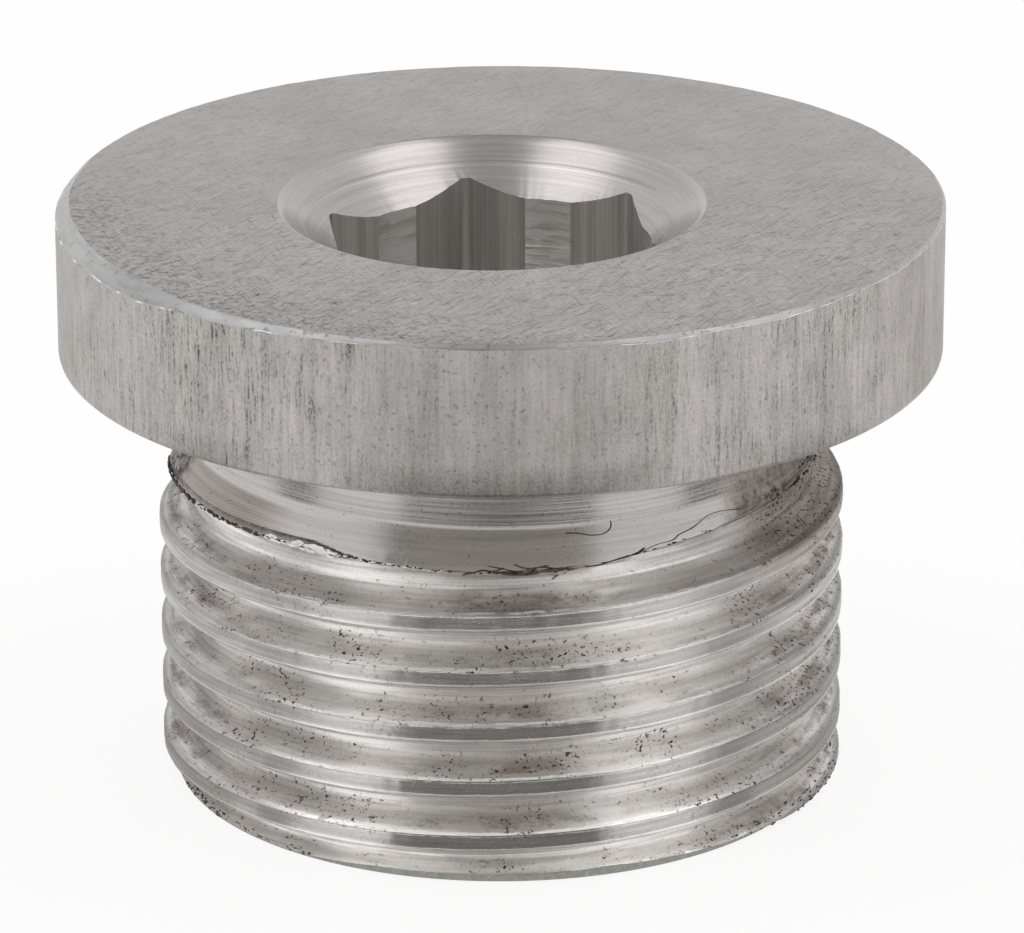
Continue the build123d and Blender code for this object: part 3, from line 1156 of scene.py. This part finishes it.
def thread_finish(colours, sizes):
    """Thread: helical tool marks, painted highlights on the crests' edges, painted shade, brown
    film and black specks.
    """
    f = Finish("cut_thread")
    pitch = sizes.pitch / MM
    angle = f.math("ARCTAN2", f.y, f.x)
    turns = f.math("SUBTRACT", f.times(f.z, 1 / pitch), f.times(angle, 1 / TURN))
    offset = f.math("SUBTRACT", f.math("FRACT", f.plus(turns, 0.5)), 0.5)
    offset = f.times(offset, pitch)  # millimetres above the middle of the nearest crest
    marks_place = f.join(f.times(f.x, 0.35), f.times(f.y, 0.35), f.times(offset, 15))
    marks = f.noise(marks_place, 3, 0.6)
    bands_place = f.join(f.times(f.x, 0.3), f.times(f.y, 0.3), f.times(offset, 5))
    bands = f.noise(bands_place, 2)
    grain = f.grain(12, 3, 0.7)
    patch = f.grain(0.5, 3, shift=8)
    glitter = f.noise(f.stretched(2.4, 2.4, 6, shift=12), 3, 0.7)
    wander = f.grain(2.2, 3, shift=6)
    edge_offset = f.plus(offset, f.sway(wander, 0.2, 0.012))
    crest = f.times(f.ramp(offset, 0.18, 0.15), f.ramp(offset, -0.17, -0.14))
    roll = f.times(f.ramp(offset, 0.15, 0.17), f.ramp(offset, 0.23, 0.2))
    side = f.math("ABSOLUTE", f.right)
    # dull: the painted edge highlights fade and roughness rises towards the left and right; far:
    # painted shade on the flanks near the far sides
    dull = f.ramp(side, 0.35, 0.75)
    far = f.ramp(side, 0.58, 0.86)
    # painted shade on the rolled edge at the sides: crest colour and darker
    side_roll_shade = f.times(f.ramp(offset, 0.13, 0.17), f.ramp(offset, 0.34, 0.24))
    side_roll_shade = f.times(dull, side_roll_shade)
    # painted highlights: two bright lines along the crests' upper edge and one along the lower
    # edge, broken up by noise
    upper_edge_highlight = f.plus(f.bell(edge_offset, 0.175, 0.02), f.bell(edge_offset, 0.25, 0.028))
    upper_edge_highlight = f.times(upper_edge_highlight, f.ramp(glitter, 0.36, 0.56, 0.1, 1.0))
    lower_edge_highlight = f.times(f.bell(edge_offset, -0.165, 0.02), f.ramp(glitter, 0.66, 0.45, 0.2, 1.0))
    shadow_line = f.bell(offset, -0.235, 0.04)
    low_flank = f.times(f.ramp(offset, 0.3, 0.35), f.ramp(offset, 0.58, 0.4))
    facing = f.plus(
        f.bell(f.right, 0.04, 0.5), f.times(f.ramp(f.right, 0.6, 0.8), 0.85),
        f.times(f.ramp(f.right, -0.6, -0.85), 0.6),
    )
    film_grain = f.noise(f.stretched(0.9, 0.9, 2.6, shift=4), 4, 0.7)
    film = f.times(f.ramp(film_grain, 0.42, 0.6), f.times(low_flank, facing))
    crusted = f.times(f.ramp(f.right, 0.66, 0.84), f.ramp(f.z, 6.7, 7.8))
    crusted = f.times(crusted, f.ramp(f.front, -0.6, -0.1))
    film = f.most(film, f.times(f.ramp(grain, 0.3, 0.6, 0.6, 1.0), crusted))
    haze = f.times(f.ramp(patch, 0.36, 0.6), f.ramp(offset, 0.2, 0.3))
    specks_fine = f.spots(9, 0.6, 0.66, 2, shift=3)
    specks = f.spots(5.5, 0.64, 0.69, 3, shift=7)
    dirty = f.plus(f.times(film, 0.7), f.ramp(patch, 0.46, 0.62), 0.1, f.times(crusted, 0.25))
    black = f.most(f.times(specks_fine, dirty), f.times(specks, f.plus(dirty, 0.35)))
    black = f.math("MINIMUM", f.times(black, f.ramp(offset, 0.1, 0.25, 0.3, 1.0)), 1.0)
    shade = f.plus(
        1.0,
        f.sway(marks, 0.16, 0.1),
        f.sway(bands, 0.16, 0.1),
        f.sway(grain, 0.2, 0.05),
        # painted highlights on the crests' edges, weaker at the sides, and the painted shadow line
        # under the crests
        f.times(upper_edge_highlight, f.blend(dull, 0.9, 0.1)),
        f.times(lower_edge_highlight, f.blend(dull, 0.7, 0.05)),
        f.times(shadow_line, -0.45),
        # painted shade: darker near the far sides, high up to either side of the front, at the left
        # and right, and on the rolled edges at the sides; a painted dark reflection at the front;
        # painted light on the crests at the left
        f.times(far, f.ramp(offset, 0.2, 0.26, -0.05, -0.25)),
        f.times(f.ramp(f.right, 0.15, 0.45), f.ramp(f.z, 7.9, 8.3, 0.0, -0.3)),
        f.times(f.bell(f.right, 0.02, 0.3), f.ramp(f.z, 6.9, 7.3, 0.0, -0.16)),
        f.times(side_roll_shade, -0.16),
        f.times(f.most(crest, side_roll_shade), f.ramp(f.right, -0.2, -0.5, 0.0, 0.16)),
        f.ramp(f.right, -0.3, -0.6, 0.0, -0.1),
        f.ramp(f.right, -0.8, -0.97, 0.0, -0.12),
        f.ramp(f.right, 0.35, 0.5, 0.0, -0.05),
        f.times(f.ramp(f.right, -0.05, -0.3), f.ramp(f.z, 7.9, 8.3, 0.0, -0.12)),
    )
    # the crests and rolled edges take the darker crest colour: painted shade against the flanks'
    # painted light
    on_crest = f.most(crest, roll, side_roll_shade)
    base = f.mix(on_crest, f.shaded(colours.flank, shade), f.shaded(colours.crest, shade))
    base = f.mix(f.times(haze, 0.2), base, f.shaded(colours.film, shade))
    base = f.mix(f.times(film, 0.85), base, f.shaded(colours.film, shade))
    run_out = f.times(f.ramp(f.front, -0.3, -0.6), f.ramp(f.z, 8.0, 8.25))
    base = f.mix(run_out, base, f.shaded(colours.relief, shade))
    base = f.mix(black, base, opaque(colours.dirt))
    roughness = f.plus(
        f.blend(run_out, f.blend(on_crest, 0.4, f.blend(dull, 0.28, 0.42)), 0.24),
        f.times(film, 0.2),
        f.times(black, 0.2),
        f.times(f.plus(upper_edge_highlight, lower_edge_highlight), f.blend(dull, 0.3, 0.1)),
        f.sway(bands, 0.16, -0.04),
    )
    metallic = f.ramp(black, 0.3, 0.9, 1.0, 0.1)
    height = f.plus(
        f.times(marks, 0.6), f.times(bands, 0.8),
        f.times(grain, f.blend(on_crest, 0.25, 0.04)), f.times(black, 0.8),
    )
    return f.finish(base, roughness, f.bump(height, 0.008), metallic)


def turned_face_finish(colours, name):
    """Plain faced or turned surface with fine rings."""
    f = Finish(name)
    rings = ringed(f, f.plus(f.radius, f.z), 12, 0.15)
    grain = f.grain(12, 3, 0.6)
    shade = f.plus(1.0, f.sway(rings, 0.2, 0.1), f.sway(grain, 0.2, 0.06))
    return f.finish(f.shaded(colours.turned, shade), 0.32, f.bump(rings, 0.006))


def plug_finishes(colours, sizes):
    """The finishes in the order of the surface's regions."""
    return [
        turned_face_finish(colours, "faced_end"),
        end_ring_finish(colours),
        thread_finish(colours, sizes),
        relief_finish(colours),
        turned_face_finish(colours, "faced_seat"),
        collar_side_finish(colours),
        edge_line_finish(colours),
        broken_edge_finish(colours),
        collar_face_finish(colours),
        countersink_finish(colours, sizes),
        hexagon_wall_finish(colours),
        bore_wall_finish(colours),
    ]


def crumb_finish(colours):
    """Dark scale and dirt, brown here and there."""
    f = Finish("dark_scale")
    patch = f.grain(3, 2)
    base = f.mix(f.ramp(patch, 0.45, 0.65), opaque(colours.dirt), opaque(colours.scale))
    return f.finish(base, 0.7, metallic=0.0)


def bright_flake_finish(colours):
    return Finish("bright_flakes").finish(opaque(colours.flake), 0.35)


def end_ring_finish(colours):
    """Thin ring at the end face: dull, with light nicks along its upper edge."""
    f = Finish("dull_end_ring")
    grain = f.grain(9, 3, 0.6)
    nicks = f.spots(4, 0.62, 0.7, 3, shift=5)
    shade = f.plus(1.0, f.sway(grain, 0.2, 0.12), f.times(nicks, 0.25))
    return f.finish(f.shaded(colours.ring, shade), 0.36, f.bump(grain, 0.01))


# ---------------------------------------------------------------- operators


class PLUG_OT_turned_plug(bpy.types.Operator):
    """Build the plug: thread, relief, collar, countersink and hexagon socket"""

    bl_idname = "plug.turned_plug"
    bl_label = "Turned plug"

    def execute(self, context):
        sizes, colours = context.scene.plug_sizes, context.scene.plug_colours
        mesh = turned_plug_mesh(PlugForm(sizes))
        plug = plug_piece(mesh, "turned_plug", plug_finishes(colours, sizes))
        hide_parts(NODE)
        return {"FINISHED"}


def small_piece(bm, name, material, smooth):
    """One object of many small bits."""
    bmesh.ops.recalc_face_normals(bm, faces=bm.faces)
    for face in bm.faces:
        face.smooth = smooth
    plug_piece(bm, name, [material])


class PLUG_OT_burr(bpy.types.Operator):
    """Build the ragged burr with its scale and flakes, where the last groove runs out"""

    bl_idname = "plug.burr"
    bl_label = "Burr"

    def execute(self, context):
        form, colours = PlugForm(context.scene.plug_sizes), context.scene.plug_colours
        scale = burr_lumps(form, BURR_CRUMBS, 1)
        small_piece(scale, "burr_scale", crumb_finish(colours), False)
        flakes = burr_lumps(form, BURR_FLAKES, 2)
        small_piece(flakes, "burr_flakes", bright_flake_finish(colours), False)
        return {"FINISHED"}


class PLUG_OT_dirt(bpy.types.Operator):
    """Lay the crumbs of dirt and the threads of swarf on the stud"""

    bl_idname = "plug.dirt"
    bl_label = "Dirt and swarf"

    def execute(self, context):
        form, colours = PlugForm(context.scene.plug_sizes), context.scene.plug_colours
        material = crumb_finish(colours)
        small_piece(dirt_lumps(form), "dirt_crumbs", material, False)
        bm = bmesh.new()
        for thickness, points in SWARF:
            swarf_thread(bm, form, thickness, points)
        small_piece(bm, "swarf_threads", material, True)
        return {"FINISHED"}


# Cards on the floor: name, from and to in degrees from the front, nearest and farthest
# distance from the stud's wall in millimetres, and the setting that holds their glow.
FLOOR_CARDS = (
    ("front_card", -18.5, 17.5, 1.3, 33, "card"),
    ("left_card", -45.5, -36.5, 1.3, 30.5, "card"),
    ("right_card", 36, 47, 1.3, 30.5, "card"),
    ("left_far_card", -90, -68, 29, 60, "far_card"),
    ("right_far_card", 58, 90, 29, 60, "far_card"),
    ("left_low_card", -90, -49, 0.6, 14, "near_card"),
    ("right_low_card", 49, 90, 0.6, 14, "near_card"),
)
CANOPY = ((-60, -150, 260), (60, -150, 260), (60, 260, 260), (-60, 260, 260))
CARD_WALL = 8.9  # radius of the wall that mirrors the cards on the floor
CARD_DISTANCE = 300  # from the axis to the standing card


def in_view(x, y, z):
    """A point in metres from millimetres to the right of, behind and above the plug's foot."""
    return Matrix.Rotation(FRONT + TURN / 4, 3, "Z") @ Vector((x, y, z)) * MM


def stage_piece(name, bm, material):
    piece = object_from(bm, name, [material])
    return piece


def bare_material(name):
    """A material without its usual surface, with its nodes and links."""
    material = bpy.data.materials.new(name)
    material.use_nodes = True
    nodes, links = material.node_tree.nodes, material.node_tree.links
    nodes.remove(nodes["Principled BSDF"])
    return material, nodes, links


def card(name, corners, glow):
    """A flat card that only shows in the metal's reflections."""
    bm = bmesh.new()
    bmesh.ops.contextual_create(bm, geom=[bm.verts.new(in_view(*corner)) for corner in corners])
    material, nodes, links = bare_material(name)
    emission = nodes.new("ShaderNodeEmission")
    emission.inputs["Color"].default_value = opaque(glow)
    links.new(emission.outputs[0], nodes["Material Output"].inputs["Surface"])
    piece = stage_piece(name, bm, material)
    piece.visible_camera = False
    piece.visible_diffuse = False
    piece.visible_transmission = False
    piece.visible_shadow = False


def floor_card(name, left, right, near, far, glow):
    """Card on the floor, mirrored in the stud's upright walls between two angles from the front."""
    corners = []
    for degrees, out in ((left, near), (left, far), (right, far), (right, near)):
        a = math.radians(degrees)
        x = CARD_WALL * math.sin(a) + out * math.sin(2 * a)
        y = -CARD_WALL * math.cos(a) - out * math.cos(2 * a)
        corners.append((x, y, 0.02))
    card(name, corners, glow)


def standing_card(name, left, right, bottom, top, glow):
    """Card far out between two angles from the front, from a low to a high angle of sight."""
    corners = []
    for degrees, rise in ((left, bottom), (right, bottom), (right, top), (left, top)):
        a, high = math.radians(degrees), math.tan(math.radians(rise))
        x, y = CARD_DISTANCE * math.sin(a), -CARD_DISTANCE * math.cos(a)
        corners.append((x, y, CARD_DISTANCE * high))
    card(name, corners, glow)


def seen_by_viewer(nodes, links):
    """One for rays from the camera, off metal and through glass."""
    path = nodes.new("ShaderNodeLightPath")
    total = path.outputs["Is Camera Ray"]
    for name in ("Is Glossy Ray", "Is Transmission Ray"):
        most = nodes.new("ShaderNodeMath")
        most.operation = "MAXIMUM"
        links.new(total, most.inputs[0])
        links.new(path.outputs[name], most.inputs[1])
        total = most.outputs[0]
    return total


def feed_viewer(nodes, links, plain, seen, surface):
    """Give a surface the seen shader where the viewer or the metal looks, else the plain one."""
    choice = nodes.new("ShaderNodeMixShader")
    links.new(seen_by_viewer(nodes, links), choice.inputs[0])
    links.new(plain.outputs[0], choice.inputs[1])
    links.new(seen.outputs[0], choice.inputs[2])
    links.new(choice.outputs[0], surface)


def studio_world(settings):
    """Soft light all round, and white where the viewer or the metal looks past the stage."""
    world = bpy.data.worlds.new("studio")
    world.use_nodes = True
    nodes, links = world.node_tree.nodes, world.node_tree.links
    soft = nodes["Background"]
    soft.inputs["Color"].default_value = (1, 1, 1, 1)
    soft.inputs["Strength"].default_value = settings.surroundings
    white = nodes.new("ShaderNodeBackground")
    white.inputs["Color"].default_value = (1, 1, 1, 1)
    white.inputs["Strength"].default_value = 1.0
    feed_viewer(nodes, links, soft, white, nodes["World Output"].inputs["Surface"])
    return world


def floor_material(settings):
    """Pale floor: white to the viewer outside the plug's shadow, plain pale for soft light."""
    material, nodes, links = bare_material("pale_floor")
    plain = nodes.new("ShaderNodeBsdfDiffuse")
    plain.inputs["Color"].default_value = (0.8, 0.8, 0.8, 1)
    faint = nodes.new("ShaderNodeBsdfDiffuse")
    share = 1.02 - settings.floor_glow
    faint.inputs["Color"].default_value = (share, share, share, 1)
    glow = nodes.new("ShaderNodeEmission")
    glow.inputs["Strength"].default_value = settings.floor_glow
    lit = nodes.new("ShaderNodeAddShader")
    links.new(faint.outputs[0], lit.inputs[0])
    links.new(glow.outputs[0], lit.inputs[1])
    feed_viewer(nodes, links, plain, lit, nodes["Material Output"].inputs["Surface"])
    return material


def softbox(name, place, brightness):
    """A large soft light aimed at the middle of the plug."""
    light = bpy.data.lights.new(name, "AREA")
    light.shape = "RECTANGLE"
    light.size, light.size_y = 196 * MM, 250 * MM
    light.energy = brightness * math.pi * light.size * light.size_y
    lamp = placed(name, light)
    lamp.location = in_view(*place)
    aim = in_view(0, 0, 8) - lamp.location
    lamp.rotation_euler = aim.to_track_quat("-Z", "Y").to_euler()


class PLUG_OT_studio(bpy.types.Operator):
    """Set up the floor, the cards, the lights and the camera"""

    bl_idname = "plug.studio"
    bl_label = "Studio"

    def execute(self, context):
        scene, settings = context.scene, context.scene.plug_studio
        bm = bmesh.new()
        bmesh.ops.create_grid(bm, x_segments=1, y_segments=1, size=3.0)
        stage_piece("floor", bm, floor_material(settings))
        for name, left, right, near, far, glow in FLOOR_CARDS:
            floor_card(name, left, right, near, far, getattr(settings, glow))
        standing_card("tall_card", -42, 34, 4, 50, settings.tall_card)
        card("canopy", CANOPY, settings.canopy)
        softbox("left_softbox", (-152, -14, 304), settings.softbox)
        softbox("right_softbox", (152, -14, 304), settings.softbox)
        scene.world = studio_world(settings)
        camera_data = bpy.data.cameras.new("camera")
        camera_data.sensor_width = 36
        camera_data.lens = settings.lens
        camera_data.clip_start = 0.01
        camera_data.clip_end = 10
        camera = placed("camera", camera_data)
        camera.location = (57.233 * MM, -155.471 * MM, 70.525 * MM)
        camera.rotation_euler = [math.radians(a) for a in (69.3364, 0.10813, 20.0701)]
        scene.camera = camera
        scene.view_settings.view_transform = "Standard"
        return {"FINISHED"}


class PLUG_PT_panel(bpy.types.Panel):
    """Lists the plug's pieces and the studio"""

    bl_idname = "PLUG_PT_panel"
    bl_label = "Screw plug"
    bl_space_type = "VIEW_3D"
    bl_region_type = "UI"
    bl_category = "Screw plug"

    def draw(self, context):
        column = self.layout.column()
        for operator in OPERATORS:
            column.operator(operator.bl_idname)


OPERATORS = (PLUG_OT_turned_plug, PLUG_OT_burr, PLUG_OT_dirt, PLUG_OT_studio)
CLASSES = (PlugSizes, PlugColours, StudioSettings, *OPERATORS, PLUG_PT_panel)


def register():
    for cls in CLASSES:
        bpy.utils.register_class(cls)
    bpy.types.Scene.plug_sizes = PointerProperty(type=PlugSizes)
    bpy.types.Scene.plug_colours = PointerProperty(type=PlugColours)
    bpy.types.Scene.plug_studio = PointerProperty(type=StudioSettings)


def unregister():
    del bpy.types.Scene.plug_studio
    del bpy.types.Scene.plug_colours
    del bpy.types.Scene.plug_sizes
    for cls in reversed(CLASSES):
        bpy.utils.unregister_class(cls)


def main():
    register()
    bpy.ops.plug.turned_plug()
    bpy.ops.plug.burr()
    bpy.ops.plug.dirt()
    bpy.ops.plug.studio()


if __name__ == "__main__":
    main()
